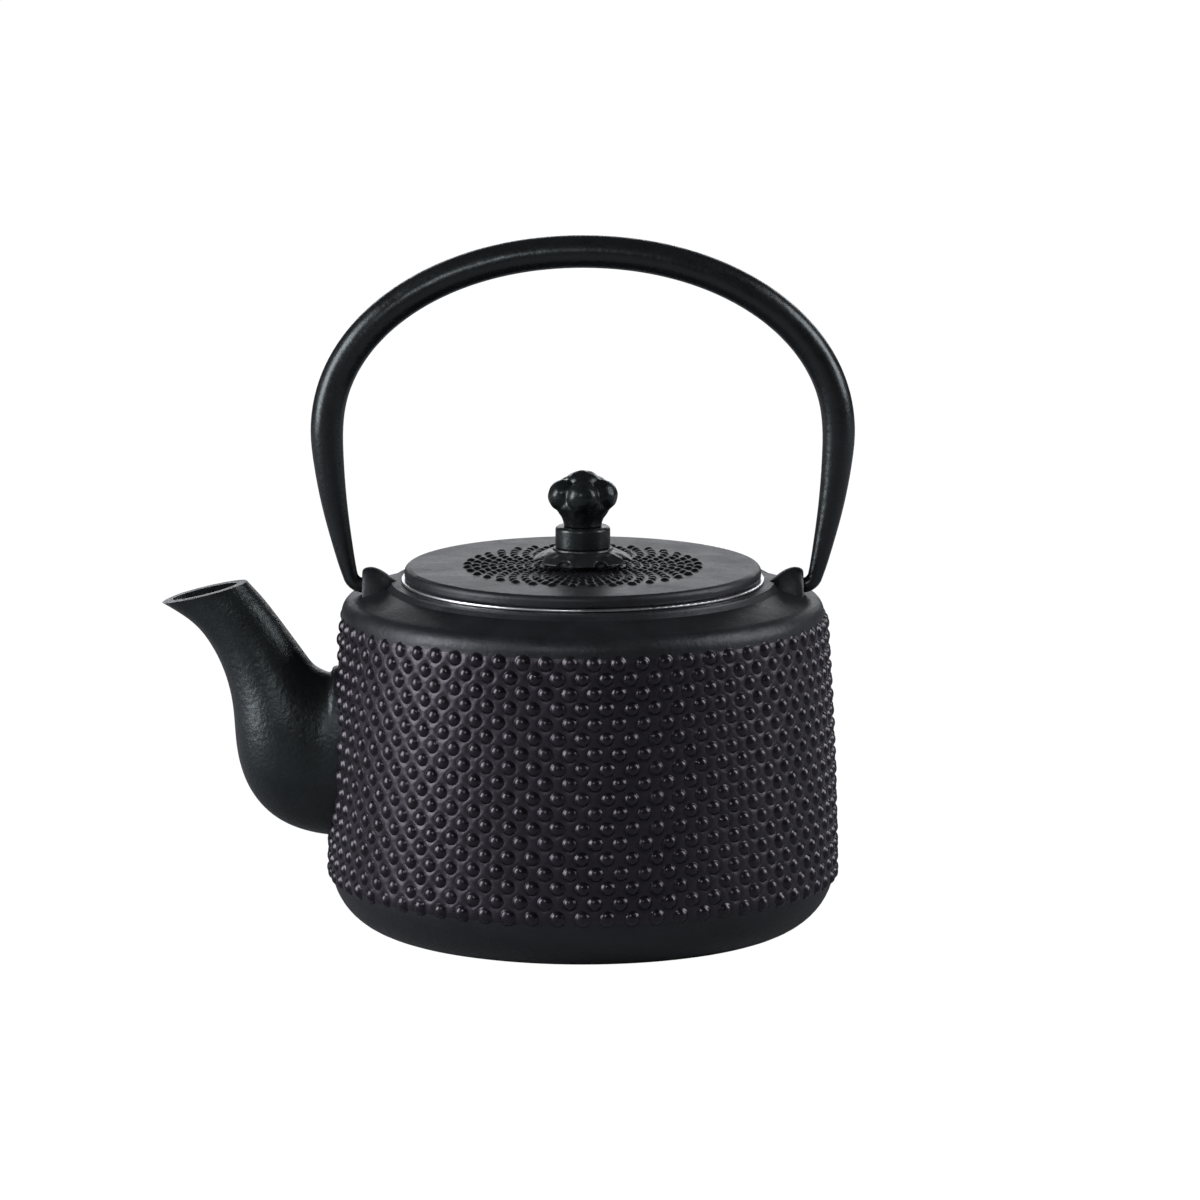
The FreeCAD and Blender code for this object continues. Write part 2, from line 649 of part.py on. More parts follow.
def infuser_basket():
    """The mesh basket as a thin shell: an upright edge in the neck, a tapered wall and a flat
    bottom with a round corner."""
    edge = "neck_outer - sheet_thickness"
    corner = "mesh_corner"
    return turned_body("infuser_basket", (
        ("0", "mesh_foot"),
        ("mesh_foot_radius - mesh_corner", "mesh_foot"),
        ("mesh_foot_radius", "mesh_foot + mesh_corner", corner, 1),
        (edge, "band_foot"),
        (edge, "mesh_top"),
        (edge + " - mesh_thickness", "mesh_top"),
        (edge + " - mesh_thickness", "band_foot"),
        ("mesh_foot_radius - mesh_thickness", "mesh_foot + mesh_corner"),
        ("mesh_foot_radius - mesh_corner", "mesh_foot + mesh_thickness", corner + " - mesh_thickness", -1),
        ("0", "mesh_foot + mesh_thickness"),
    ))


# ---- the assembly ----------------------------------------------------------------------------

def check(nodes):
    """Stop if any object failed to compute or a piece has no sound solid."""
    for thing in doc.Objects:
        if "Invalid" in thing.State or "Error" in thing.State:
            raise RuntimeError("%s did not compute" % thing.Name)
    for piece in nodes:
        shape = piece.Shape
        if shape.isNull() or not shape.isValid() or not shape.Solids:
            raise RuntimeError("%s is not a sound solid" % piece.Label)
        print("%-18s solids %d  volume %10.1f mm3" % (piece.Label, len(shape.Solids), shape.Volume))


pot_blank = vessel_blank()
tea_way = spout_bore()
nodes = [
    pot_body(pot_blank, tea_way), spout(pot_blank, tea_way), handle_bail(),
    lid_plate(), petal_washer(), knob_collar(), knob(), knob_stud(), lid_inner_washer(), knob_nut(),
    infuser_rim(), infuser_band(), infuser_basket(),
]
doc.recompute()
check(nodes)

os.makedirs("parts", exist_ok=True)
for node in nodes:
    node.Shape.exportStep("parts/%s.step" % node.Label)
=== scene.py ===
"""Looks of a cast iron teapot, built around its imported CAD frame. Metres, +Z up, spout towards -X."""
import math
import random

import bmesh
import bpy
import numpy as np
from mathutils import Matrix, Vector, noise
from mathutils.bvhtree import BVHTree


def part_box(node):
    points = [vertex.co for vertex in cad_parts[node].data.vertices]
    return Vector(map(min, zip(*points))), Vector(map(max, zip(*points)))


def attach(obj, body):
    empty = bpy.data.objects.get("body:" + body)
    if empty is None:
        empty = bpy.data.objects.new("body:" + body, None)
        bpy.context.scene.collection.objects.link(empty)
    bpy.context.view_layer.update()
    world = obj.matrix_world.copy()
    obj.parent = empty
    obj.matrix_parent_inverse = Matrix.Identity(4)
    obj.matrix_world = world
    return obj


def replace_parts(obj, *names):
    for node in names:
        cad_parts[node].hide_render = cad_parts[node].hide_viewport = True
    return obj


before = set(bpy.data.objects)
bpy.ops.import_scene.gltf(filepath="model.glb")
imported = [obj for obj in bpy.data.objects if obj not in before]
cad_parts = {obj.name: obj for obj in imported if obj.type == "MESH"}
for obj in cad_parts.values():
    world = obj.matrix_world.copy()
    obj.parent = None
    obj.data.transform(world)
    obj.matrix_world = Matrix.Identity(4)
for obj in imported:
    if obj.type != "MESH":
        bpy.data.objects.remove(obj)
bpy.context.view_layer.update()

MM = 0.001
SEED = 7
draw = random.Random(SEED)
UP = Vector((0, 0, 1))


# ---- places read from the CAD frame ----------------------------------------------------------

def top_of(node):
    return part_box(node)[1].z


def radius_of(node):
    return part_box(node)[1].y


LID_TOP = top_of("lid_plate")
KNOB_TOP = top_of("knob")
POT_RADIUS = radius_of("pot_body")
BASKET_LOW, BASKET_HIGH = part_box("infuser_basket")
START = POT_RADIUS + 60 * MM     # rays towards the axis start here, outside everything


def spoke_at(angle):
    return Vector((math.cos(angle), math.sin(angle), 0))


# ---- materials -------------------------------------------------------------------------------

class Nodes:
    """A material's node tree, with short calls for the nodes that these materials share."""

    def __init__(self, name):
        self.material = bpy.data.materials.new(name)
        self.material.use_nodes = True
        self.tree = self.material.node_tree
        self.shader = self.tree.nodes["Principled BSDF"]
        self.place = self.tree.nodes.new("ShaderNodeTexCoord").outputs["Object"]

    def link(self, source, target):
        self.tree.links.new(source, target)

    def math(self, operation, a, b=None, clamp=False):
        node = self.tree.nodes.new("ShaderNodeMath")
        node.operation = operation
        node.use_clamp = clamp
        for socket, value in zip(node.inputs, (a, b)):
            if value is None:
                continue
            if isinstance(value, (int, float)):
                socket.default_value = value
            else:
                self.link(value, socket)
        return node.outputs[0]

    def noise(self, scale, detail=3.0, rough=0.55, stretch=None):
        node = self.tree.nodes.new("ShaderNodeTexNoise")
        node.inputs["Scale"].default_value = scale
        node.inputs["Detail"].default_value = detail
        node.inputs["Roughness"].default_value = rough
        place = self.place
        if stretch:
            mapping = self.tree.nodes.new("ShaderNodeMapping")
            mapping.inputs["Scale"].default_value = stretch
            self.link(place, mapping.inputs["Vector"])
            place = mapping.outputs["Vector"]
        self.link(place, node.inputs["Vector"])
        return node.outputs["Fac"]

    def cells(self, scale):
        node = self.tree.nodes.new("ShaderNodeTexVoronoi")
        node.inputs["Scale"].default_value = scale
        self.link(self.place, node.inputs["Vector"])
        return node.outputs["Distance"]

    def spread(self, value, low_in, high_in, low_out, high_out):
        """value from low_in..high_in mapped to low_out..high_out, and held there outside it."""
        node = self.tree.nodes.new("ShaderNodeMapRange")
        node.inputs["From Min"].default_value = low_in
        node.inputs["From Max"].default_value = high_in
        node.inputs["To Min"].default_value = low_out
        node.inputs["To Max"].default_value = high_out
        self.link(value, node.inputs["Value"])
        return node.outputs["Result"]

    def blend(self, share, first, second):
        """A colour from first to second. Each is a socket or three numbers."""
        node = self.tree.nodes.new("ShaderNodeMix")
        node.data_type = "RGBA"
        self.link(share, node.inputs["Factor"])
        for socket, value in ((node.inputs[6], first), (node.inputs[7], second)):
            if isinstance(value, tuple):
                socket.default_value = (*value, 1.0)
            else:
                self.link(value, socket)
        return node.outputs[2]

    def mix(self, share, first, second):
        """A number from first, a socket, to second, a plain number."""
        node = self.tree.nodes.new("ShaderNodeMix")
        self.link(share, node.inputs["Factor"])
        self.link(first, node.inputs[2])
        node.inputs[3].default_value = second
        return node.outputs[0]

    def bump(self, height, distance, strength=1.0, under=None):
        node = self.tree.nodes.new("ShaderNodeBump")
        node.inputs["Strength"].default_value = strength
        node.inputs["Distance"].default_value = distance
        self.link(height, node.inputs["Height"])
        if under:
            self.link(under, node.inputs["Normal"])
        return node.outputs["Normal"]

    def axes(self, vector):
        node = self.tree.nodes.new("ShaderNodeSeparateXYZ")
        self.link(vector, node.inputs[0])
        return node.outputs

    def finish(self, colour, roughness, normal, **settings):
        """Link the three, and set the shader's other inputs by name, with _ for a space."""
        self.link(colour, self.shader.inputs["Base Color"])
        self.link(roughness, self.shader.inputs["Roughness"])
        self.link(normal, self.shader.inputs["Normal"])
        for name, value in settings.items():
            self.shader.inputs[name.replace("_", " ")].default_value = value
        return self.material


PATCH_SCALE = 90.0           # slow changes of tone and gloss
WAVE_SCALE = 160.0           # slow unevenness of the casting
WAVE_HEIGHT = 0.35 * MM
WAVE_STRENGTH = 0.5
PIT_SHARE = 0.45             # pits are this much coarser than the sand grain
SPECK_LIGHTER = 1.7
ENAMEL_COLOUR = (0.006, 0.006, 0.007)
ENAMEL_ROUGHNESS = 0.16


def iron(name, tones, gloss_range, grain, grain_size, tint, hollow=None):
    """Black cast iron: sand grain that is grain high and grain_size across, slow waves under it, and
    a patchy tone between two colours. hollow is a function that gives the share of gloss enamel."""
    dark, light = tones
    smooth, rough = gloss_range
    n = Nodes(name)
    patches = n.noise(PATCH_SCALE, 4.0)
    fine = n.noise(1.0 / grain_size, 3.0, 0.6)
    pits = n.cells(PIT_SHARE / grain_size)
    colour = n.blend(n.spread(patches, 0.35, 0.7, 0.0, 1.0), dark, light)
    speck = tuple(SPECK_LIGHTER * c for c in light)
    colour = n.blend(n.spread(fine, 0.3, 0.8, 0.0, 0.35), colour, speck)
    gloss = n.math("ADD", n.spread(patches, 0.3, 0.75, smooth, rough),
                   n.spread(fine, 0.3, 0.7, -0.05, 0.05))
    waves = n.bump(n.noise(WAVE_SCALE, 2.0), WAVE_HEIGHT, WAVE_STRENGTH)
    sand = n.bump(n.math("ADD", fine, n.spread(pits, 0.0, 0.6, 0.0, 0.5)), grain, 1.0, waves)
    if hollow:
        share = hollow(n)
        colour = n.blend(share, colour, ENAMEL_COLOUR)
        gloss = n.mix(share, gloss, ENAMEL_ROUGHNESS)
    return n.finish(colour, gloss, sand, Specular_Tint=tint)


HOLLOW_RADIUS = 71.5 * MM    # a circle inside the wall's thickness
ENAMEL_TOP = 98.5 * MM       # the enamel stops short of the rim
HOLLOW_FLOOR = 20.0 * MM     # the floor and its corner lie below this
HOLLOW_CEILING = 50.0 * MM   # the inside of the shoulder lies above this
LEVEL = 0.3                  # a face whose normal rises or drops by more than this is level
INWARDS = -2.0 * MM          # below this, position times normal says that a face looks at the axis


def inside_pot(n):
    """1 on the enamelled inside of the vessel: its wall, its floor and the inside of the shoulder."""
    x, y, z = n.axes(n.place)
    ahead = n.tree.nodes.new("ShaderNodeTexCoord").outputs["Normal"]
    facing = n.tree.nodes.new("ShaderNodeVectorMath")
    facing.operation = "DOT_PRODUCT"
    n.link(ahead, facing.inputs[0])
    n.link(n.place, facing.inputs[1])
    rise = n.axes(ahead)[2]
    outwards = n.math("SUBTRACT", facing.outputs["Value"], n.math("MULTIPLY", rise, z))
    wall = n.math("MULTIPLY", n.math("LESS_THAN", outwards, INWARDS), n.math("LESS_THAN", z, ENAMEL_TOP))
    floor = n.math("MULTIPLY", n.math("GREATER_THAN", rise, LEVEL), n.math("LESS_THAN", z, HOLLOW_FLOOR))
    away = n.math("SQRT", n.math("ADD", n.math("MULTIPLY", x, x), n.math("MULTIPLY", y, y)))
    near = n.math("LESS_THAN", away, HOLLOW_RADIUS)
    ceiling = n.math("MULTIPLY", n.math("LESS_THAN", rise, -LEVEL),
                     n.math("GREATER_THAN", z, HOLLOW_CEILING))
    return n.math("MULTIPLY", n.math("ADD", n.math("ADD", wall, floor), ceiling, True), near)


DRAWN_SCALE = 700.0
CLOUD_SCALE = 120.0
CLOUD_DARKER = 0.82
DRAWN_HEIGHT = 0.02 * MM
DRAWN_STRENGTH = 0.6


def steel(name, colour, smooth, rough, stretch):
    """Bare metal with fine drawn lines along stretch's short axis."""
    n = Nodes(name)
    lines = n.noise(DRAWN_SCALE, 4.0, 0.6, stretch)
    clouds = n.noise(CLOUD_SCALE, 3.0)
    tone = n.blend(n.spread(clouds, 0.3, 0.7, 0.0, 1.0), tuple(CLOUD_DARKER * c for c in colour), colour)
    gloss = n.math("ADD", n.spread(lines, 0.3, 0.7, smooth, rough),
                   n.spread(clouds, 0.3, 0.7, -0.03, 0.03))
    return n.finish(tone, gloss, n.bump(lines, DRAWN_HEIGHT, DRAWN_STRENGTH), Metallic=1.0)


PURPLISH = (0.97, 0.88, 1.0, 1.0)
BLUISH = (0.93, 0.96, 1.0, 1.0)
GREENISH = (0.88, 0.98, 1.0, 1.0)
NEUTRAL = (1.0, 1.0, 1.0, 1.0)
pot_iron = iron("pot_iron", ((0.005, 0.0051, 0.0064), (0.0096, 0.0097, 0.0118)), (0.42, 0.54),
                0.07 * MM, 0.7 * MM, BLUISH, inside_pot)
spout_iron = iron("spout_iron", ((0.0046, 0.0054, 0.0058), (0.009, 0.0108, 0.0112)), (0.34, 0.44),
                  0.12 * MM, 0.8 * MM, GREENISH)
ground_iron = iron("ground_iron", ((0.0054, 0.005, 0.0066), (0.0108, 0.01, 0.0128)), (0.36, 0.46),
                   0.06 * MM, 0.7 * MM, PURPLISH)
nail_iron = iron("nail_iron", ((0.0034, 0.003, 0.004), (0.0074, 0.0066, 0.0088)), (0.25, 0.35),
                 0.03 * MM, 0.6 * MM, PURPLISH)
lid_iron = iron("lid_iron", ((0.0078, 0.0076, 0.0095), (0.0132, 0.013, 0.0155)), (0.42, 0.52),
                0.05 * MM, 0.6 * MM, BLUISH)
lid_bump_iron = iron("lid_bump_iron", ((0.002, 0.002, 0.0026), (0.0045, 0.0045, 0.0055)), (0.28, 0.38),
                     0.02 * MM, 0.5 * MM, NEUTRAL)
handle_iron = iron("handle_iron", ((0.0042, 0.0046, 0.0051), (0.0084, 0.009, 0.01)), (0.27, 0.35),
                   0.03 * MM, 0.8 * MM, GREENISH)
knob_iron = iron("knob_iron", ((0.0035, 0.0043, 0.0042), (0.009, 0.0108, 0.0102)), (0.26, 0.4),
                 0.05 * MM, 0.9 * MM, GREENISH)
petal_iron = iron("petal_iron", ((0.008, 0.0082, 0.0092), (0.018, 0.0184, 0.0205)), (0.3, 0.42),
                  0.04 * MM, 0.8 * MM, BLUISH)
sheet_steel = steel("sheet_steel", (0.82, 0.82, 0.84), 0.26, 0.36, (1.0, 1.0, 18.0))
wire_steel = steel("wire_steel", (0.74, 0.74, 0.76), 0.2, 0.3, (1.0, 1.0, 1.0))
zinc_steel = steel("zinc_steel", (0.5, 0.5, 0.52), 0.28, 0.38, (1.0, 1.0, 9.0))

for node, finish in (
    ("pot_body", pot_iron), ("spout", spout_iron), ("handle_bail", handle_iron), ("lid_plate", lid_iron),
    ("petal_washer", petal_iron), ("knob_collar", knob_iron), ("knob", knob_iron),
    ("knob_stud", zinc_steel), ("lid_inner_washer", zinc_steel), ("knob_nut", zinc_steel),
    ("infuser_rim", sheet_steel), ("infuser_band", sheet_steel), ("infuser_basket", wire_steel),
):
    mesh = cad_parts[node].data
    mesh.materials.clear()
    mesh.materials.append(finish)


# ---- pieces ----------------------------------------------------------------------------------

def new_piece(name, points, faces, material, body):
    """A smooth mesh piece that rides on a body. Its points are in the row frame."""
    mesh = bpy.data.meshes.new(name)
    mesh.from_pydata(points, [], faces)
    mesh.materials.append(material)
    mesh.polygons.foreach_set("use_smooth", [True] * len(mesh.polygons))
    mesh.update()
    piece = bpy.data.objects.new(name, mesh)
    bpy.context.scene.collection.objects.link(piece)
    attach(piece, body)
    return piece


def surface_of(node):
    """A search tree over the faces of a CAD node."""
    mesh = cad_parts[node].data
    points = [v.co.copy() for v in mesh.vertices]
    return BVHTree.FromPolygons(points, [tuple(p.vertices) for p in mesh.polygons])


# shares of radius and of height, from a flared foot to the tip
DOME = ((1.3, -0.12), (1.14, 0.05), (1.0, 0.2), (0.87, 0.47), (0.68, 0.74), (0.45, 0.9), (0.22, 0.98))


def add_dome(points, faces, centre, normal, radius, height, sides, twist):
    """A closed cast dome that stands on a surface, its foot a little way in."""
    across = normal.orthogonal().normalized()
    along = normal.cross(across)
    first = len(points)
    for out, up in DOME:
        for k in range(sides):
            angle = twist + 2 * math.pi * k / sides
            ring = across * math.cos(angle) + along * math.sin(angle)
            points.append(centre + ring * (out * radius) + normal * (up * height))
    points.append(centre + normal * height)
    for ring in range(len(DOME) - 1):
        a, b = first + ring * sides, first + (ring + 1) * sides
        faces += [[a + k, a + (k + 1) % sides, b + (k + 1) % sides, b + k] for k in range(sides)]
    last, tip = first + (len(DOME) - 1) * sides, len(points) - 1
    faces += [[last + k, last + (k + 1) % sides, tip] for k in range(sides)]
    faces.append([first + k for k in reversed(range(sides))])


# ---- hobnails --------------------------------------------------------------------------------

NAIL_ROWS = 18
NAILS_ROUND = 64
NAIL_FIRST, NAIL_LAST = 16.9 * MM, 90.2 * MM
ROW_STEP = (NAIL_LAST - NAIL_FIRST) / (NAIL_ROWS - 1)
NAIL_RADIUS = 2.05 * MM
NAIL_HEIGHT = 1.3 * MM
NAIL_SIDES = 12
FLARE_NAILS = 2.6 * MM       # nails run on up the spout's root while it stands this little off the wall
WALL_DEPTH = 12 * MM         # a ray that hits deeper than this has missed the wall
wall = surface_of("pot_body")
spout = surface_of("spout")


def hobnails():
    """Rows of cast domes round the vessel's wall, each row half a step on from the one below."""
    points, faces = [], []
    for row in range(NAIL_ROWS):
        up = NAIL_FIRST + ROW_STEP * row
        for k in range(NAILS_ROUND):
            angle = 2 * math.pi * (k + 0.5 * (row % 2)) / NAILS_ROUND + draw.gauss(0, 0.002)
            outwards = spoke_at(angle)
            start = outwards * START + UP * (up + draw.gauss(0, 0.08) * MM)
            size = draw.gauss(1, 0.03)
            tall = draw.gauss(1, 0.05)
            twist = draw.uniform(0, math.pi)
            hit, normal, _, _ = wall.ray_cast(start, -outwards)
            if hit is None or hit.xy.length < POT_RADIUS - WALL_DEPTH:
                continue
            flare, flare_normal, _, _ = spout.ray_cast(start, -outwards, start.xy.length)
            if flare is not None:
                if flare.xy.length > hit.xy.length + FLARE_NAILS:
                    continue
                hit, normal = flare, flare_normal
            add_dome(points, faces, hit, normal, NAIL_RADIUS * size, NAIL_HEIGHT * tall, NAIL_SIDES, twist)
    new_piece("hobnails", points, faces, nail_iron, "pot")


GROUND_COLUMNS = 768
GROUND_ROWS = 120
GROUND_LOW, GROUND_HIGH = 14.7 * MM, 92.2 * MM
DIMPLE = 2.0 * MM            # radius of the dimple round a nail
RIDGE_WIDTH = 0.9 * MM       # from the dimple's edge to the top of the ridge
RIDGE_HEIGHT = 0.34 * MM
GROUND_LIFT = 0.06 * MM      # how far the dimples' floor stands off the CAD wall
GROUND_SINK = -0.1 * MM      # the ground's two edges dip into the CAD wall
GROUND_FADE = 1.6 * MM
GROUND_WAVE = 0.05 * MM
GROUND_WAVE_SIZE = 3.0 * MM
SPOUT_SIDE = -0.85           # the spout lies where a spoke's x is below this
SPOUT_COVER = 1.2 * MM       # the ground is left out where the spout stands this far off it
NO_NAIL = 1.0                # a distance beyond any nail


def to_nail(along, up, pitch):
    """Distance in the unrolled wall from a point to the nearest nail's centre."""
    row = (up - NAIL_FIRST) / ROW_STEP
    best = NO_NAIL
    for near in (math.floor(row), math.floor(row) + 1):
        if not 0 <= near < NAIL_ROWS:
            continue
        step = along / pitch - 0.5 * (near % 2)
        across = (step - round(step)) * pitch
        best = min(best, math.hypot(across, up - NAIL_FIRST - ROW_STEP * near))
    return best


def smooth_step(value):
    held = min(max(value, 0.0), 1.0)
    return held * held * (3 - 2 * held)


def wall_profile():
    """The wall's radius, height and outward direction at each row of the ground."""
    profile = []
    for row in range(GROUND_ROWS):
        up = GROUND_LOW + (GROUND_HIGH - GROUND_LOW) * row / (GROUND_ROWS - 1)
        hit, normal, _, _ = wall.ray_cast(Vector((0, -START, up)), Vector((0, 1, 0)))
        profile.append((-hit.y, up, Vector((-normal.y, normal.z)).normalized()))
    return profile


def ground():
    """The wall between the nails: a shallow dimple round each one and soft ridges in between. It is an
    open sheet: its edges run inside the casting."""
    profile = wall_profile()
    points, faces = [], []
    for radius, up, out in profile:
        pitch = 2 * math.pi * radius / NAILS_ROUND
        share = smooth_step(min(up - GROUND_LOW, GROUND_HIGH - up) / GROUND_FADE)
        for column in range(GROUND_COLUMNS):
            angle = 2 * math.pi * column / GROUND_COLUMNS
            away = to_nail(angle * radius, up, pitch)
            lift = GROUND_LIFT + RIDGE_HEIGHT * smooth_step((away - DIMPLE) / RIDGE_WIDTH)
            lift += noise.noise(Vector((angle * radius, up, 0)) / GROUND_WAVE_SIZE) * GROUND_WAVE
            lift = GROUND_SINK + (lift - GROUND_SINK) * share
            across = radius + out.x * lift
            points.append((across * math.cos(angle), across * math.sin(angle), up + out.y * lift))
    for row in range(GROUND_ROWS - 1):
        radius, up, _ = profile[row]
        for column in range(GROUND_COLUMNS):
            outwards = spoke_at(2 * math.pi * (column + 0.5) / GROUND_COLUMNS)
            if outwards.x < SPOUT_SIDE:
                hit = spout.ray_cast(outwards * START + UP * up, -outwards)[0]
                if hit is not None and hit.xy.length > radius + SPOUT_COVER:
                    continue
            a, b = row * GROUND_COLUMNS, (row + 1) * GROUND_COLUMNS
            after = (column + 1) % GROUND_COLUMNS
            faces.append((a + column, a + after, b + after, b + column))
    new_piece("ground", points, faces, ground_iron, "pot")


hobnails()
ground()


# ---- bumps on the lid ------------------------------------------------------------------------

BUMP_RINGS = 10
BUMPS_ROUND = 36
BUMP_FIRST, BUMP_LAST = 11.0 * MM, 33.7 * MM
BUMP_SIDES = 10
BUMP_LEAST = 0.72 * MM       # a bump's radius at the axis, and how fast it grows outwards
BUMP_GROWTH = 0.018
BUMP_CROWDING = 0.4          # a bump's radius is at most this share of the step to the next
BUMP_RISE = 0.6              # height as a share of radius


def lid_bumps():
    """Staggered rings of small domes between the washer and the lid's plain border."""
    points, faces = [], []
    for ring in range(BUMP_RINGS):
        away = BUMP_FIRST + (BUMP_LAST - BUMP_FIRST) * ring / (BUMP_RINGS - 1)
        step = 2 * math.pi * away / BUMPS_ROUND
        radius = min(BUMP_LEAST + BUMP_GROWTH * away, BUMP_CROWDING * step)
        for k in range(BUMPS_ROUND):
            angle = 2 * math.pi * (k + 0.5 * (ring % 2)) / BUMPS_ROUND + draw.gauss(0, 0.003)
            centre = spoke_at(angle) * away + UP * LID_TOP
            add_dome(points, faces, centre, UP, radius * draw.gauss(1, 0.04), BUMP_RISE * radius,
                     BUMP_SIDES, draw.uniform(0, math.pi))
    new_piece("lid_bumps", points, faces, lid_bump_iron, "lid")


lid_bumps()


# ---- knob and flower washer ------------------------------------------------------------------

WELD = 0.002 * MM
MELT_FACTOR = 0.5
BUTTON_RADIUS = 5.0 * MM     # a round cap melted into the knob's top
BUTTON_DROP = 3.3 * MM
BUTTON_HALF = 3.2 * MM


def add_button(shape):
    size = Vector((BUTTON_RADIUS, BUTTON_RADIUS, BUTTON_HALF))
    place = Matrix.LocRotScale(Vector((0, 0, KNOB_TOP - BUTTON_DROP)), None, size)
    bmesh.ops.create_uvsphere(shape, u_segments=48, v_segments=24, radius=1.0, matrix=place)


def softened(node, name, material, cell, passes, wave, wave_size, extra=None):
    """A cast copy of one of the lid's CAD nodes: its creases melted together and its skin slightly
    uneven. extra adds to the shape before it is melted."""
    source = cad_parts[node].data.copy()
    weld = bmesh.new()
    weld.from_mesh(source)
    bmesh.ops.remove_doubles(weld, verts=weld.verts, dist=WELD)
    if extra:
        extra(weld)
    weld.to_mesh(source)
    weld.free()
    rough = bpy.data.objects.new(name + "_rough", source)
    bpy.context.scene.collection.objects.link(rough)
    remesh = rough.modifiers.new("cells", "REMESH")
    remesh.mode = "VOXEL"
    remesh.voxel_size = cell
    melt = rough.modifiers.new("melt", "SMOOTH")
    melt.factor = MELT_FACTOR
    melt.iterations = passes
    bpy.context.view_layer.update()
    mesh = bpy.data.meshes.new_from_object(rough.evaluated_get(bpy.context.evaluated_depsgraph_get()))
    bpy.data.objects.remove(rough)
    bpy.data.meshes.remove(source)
    points = [v.co + v.normal * (wave * noise.noise(v.co / wave_size)) for v in mesh.vertices]
    faces = [tuple(p.vertices) for p in mesh.polygons]
    bpy.data.meshes.remove(mesh)
    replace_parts(new_piece(name, points, faces, material, "lid"), node)


softened("knob", "knob_cast", knob_iron, 0.28 * MM, 10, 0.24 * MM, 2.4 * MM, add_button)
softened("petal_washer", "petals_cast", petal_iron, 0.2 * MM, 4, 0.16 * MM, 2.0 * MM)


# ---- infuser basket --------------------------------------------------------------------------

WIRE = 0.15 * MM             # a wire's radius
WIRE_SIDES = 3
WEAVE = 0.13 * MM            # how far a wire rises over and dips under the ones it crosses
WARP_WIRES = 240
RING_STEP = 1.08 * MM
BASKET_TOP_GAP = 0.2 * MM    # the woven basket lies this far inside its CAD box
BASKET_SIDE_GAP = 0.3 * MM
BASKET_TOP_STRAIGHT = 5.8 * MM
BASKET_FOOT_RADIUS = 34.3 * MM
BASKET_FOOT_UP = 7.5 * MM
BASKET_CORNER = 7.2 * MM
CORNER_STEPS = 12
FOOT_OVERLAP = 0.6 * MM      # the foot's weave runs this far past the last ring
SEAM_TURN = math.radians(-104)
SEAM_TOP = 94.6 * MM         # the seam starts under the inner band
SEAM_DEPTH = 52 * MM
SEAM_WIDE, SEAM_NARROW = 13 * MM, 4 * MM
SEAM_INSET = 0.55 * MM       # the folded layer lies inside the basket
SEAM_WIRE = 0.2 * MM
SEAM_EDGE_WIRE = 0.42 * MM
SEAM_HALF = 4                # steps across half of the seam
SEAM_CLOSER = 3              # its wires are this many times as close as the basket's


def basket_profile():
    """Points (radius, height) down the basket's side and round its corner, evenly spaced."""
    top = BASKET_HIGH.z - BASKET_TOP_GAP
    wide = BASKET_HIGH.y - BASKET_SIDE_GAP
    low = BASKET_LOW.z + BASKET_SIDE_GAP
    line = [(wide, top), (wide, top - BASKET_TOP_STRAIGHT), (BASKET_FOOT_RADIUS, low + BASKET_FOOT_UP)]
    lean = math.atan2(wide - BASKET_FOOT_RADIUS, line[1][1] - line[2][1])
    middle = (BASKET_FOOT_RADIUS - BASKET_CORNER * math.cos(lean),
              line[2][1] + BASKET_CORNER * math.sin(lean))
    for k in range(1, CORNER_STEPS + 1):
        angle = -lean - (math.pi / 2 - lean) * k / CORNER_STEPS
        line.append((middle[0] + BASKET_CORNER * math.cos(angle),
                     middle[1] + BASKET_CORNER * math.sin(angle)))
    line = np.array(line)
    run = np.concatenate([[0], np.cumsum(np.hypot(*np.diff(line, axis=0).T))])
    at = np.linspace(0, run[-1], round(run[-1] / RING_STEP) + 1)
    rings = zip(np.interp(at, run, line[:, 0]), np.interp(at, run, line[:, 1]))
    return [(float(radius), float(height)) for radius, height in rings]


def add_wire(points, faces, path, normals, closed, radius=WIRE):
    """A three-sided wire through path, turned to each point's surface normal."""
    first, count = len(points), len(path)
    for k, (here, out) in enumerate(zip(path, normals)):
        ahead = path[(k + 1) % count] if closed or k < count - 1 else here
        behind = path[k - 1] if closed or k > 0 else here
        across = (ahead - behind).cross(out).normalized()
        for side in range(WIRE_SIDES):
            turn = math.radians(90) + 2 * math.pi * side / WIRE_SIDES
            points.append(here + across * (radius * math.cos(turn)) + out * (radius * math.sin(turn)))
    for k in range(count if closed else count - 1):
        a, b = first + WIRE_SIDES * k, first + WIRE_SIDES * ((k + 1) % count)
        for side in range(WIRE_SIDES):
            after = (side + 1) % WIRE_SIDES
            faces.append([b + side, b + after, a + after, a + side])
    if not closed:
        last = first + WIRE_SIDES * (count - 1)
        faces.append([first + side for side in range(WIRE_SIDES)])
        faces.append([last + side for side in reversed(range(WIRE_SIDES))])


